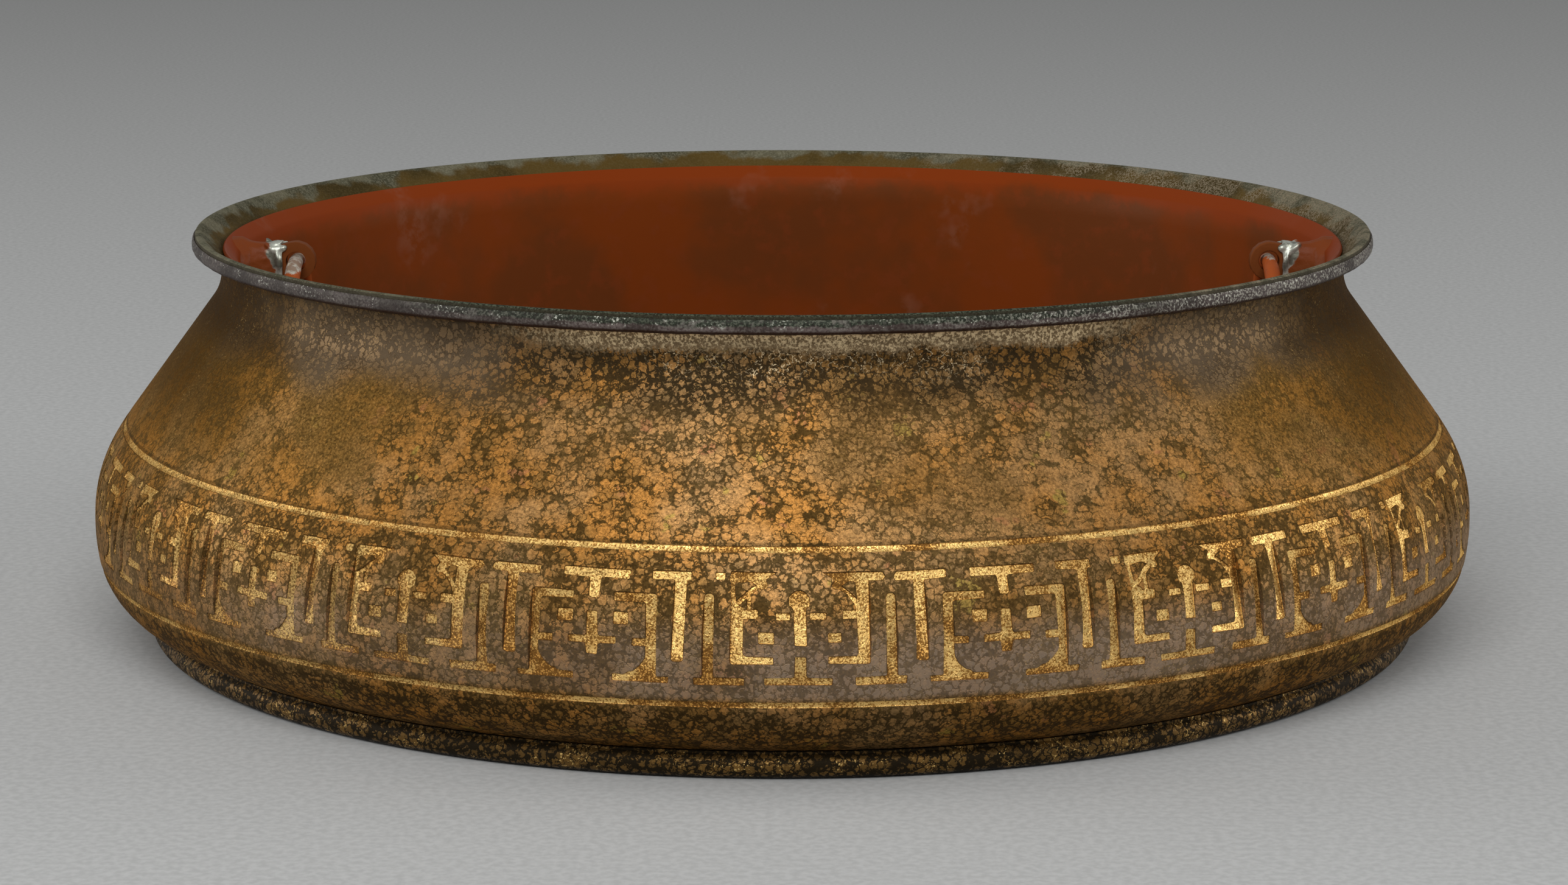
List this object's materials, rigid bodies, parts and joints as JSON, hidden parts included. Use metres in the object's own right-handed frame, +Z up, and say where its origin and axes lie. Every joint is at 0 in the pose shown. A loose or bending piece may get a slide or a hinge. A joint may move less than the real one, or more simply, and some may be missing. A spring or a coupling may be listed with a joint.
{
  "type": "bronze planter",
  "caption": "Low waisted bronze planter on a foot ring, with a beaded flared lip and a lift-out lacquered liner that carries a linked ring handle on each side.",
  "frame": {"origin": "on the table under the middle of the bowl", "axes": "+Z up, -Y the front, +X to the right-hand ring handle"},
  "size_m": [0.26, 0.26, 0.0757],
  "materials": {
    "bronze": "mottled brown patina over bronze, with a gilt fret band, satin",
    "bead_bronze": "dark purple-grey patina with verdigris in its groove",
    "foot_bronze": "worn dark patina with bright specks",
    "liner_lacquer": "red-orange lacquer, darkened and blotched towards the bottom",
    "solder": "bright grey solder",
    "ring_lacquer": "orange lacquer, worn to bright metal at the top of the wire"
  },
  "bodies": {
    "bowl": {"bowl": "bronze", "rim_bead": "bead_bronze", "foot_ring": "foot_bronze"},
    "liner": {"liner": "liner_lacquer", "lug_right": "liner_lacquer", "lug_left": "liner_lacquer", "lug_solder_right": "solder", "lug_solder_left": "solder"},
    "ring_right": {"ring_right": "ring_lacquer"},
    "ring_left": {"ring_left": "ring_lacquer"}
  },
  "joints": [
    {"name": "liner_lift", "type": "slide", "parent": "bowl", "child": "liner", "axis": [0, 0, 1], "range_m": [0, 0.07]},
    {"name": "ring_right_swing", "type": "hinge", "parent": "liner", "child": "ring_right", "pos_m": [0.09214, 0, 0.0681], "axis": [0, 1, 0], "range_deg": [-12, 232]},
    {"name": "ring_left_swing", "type": "hinge", "parent": "liner", "child": "ring_left", "pos_m": [-0.09214, 0, 0.0681], "axis": [0, -1, 0], "range_deg": [-12, 232]}
  ]
}
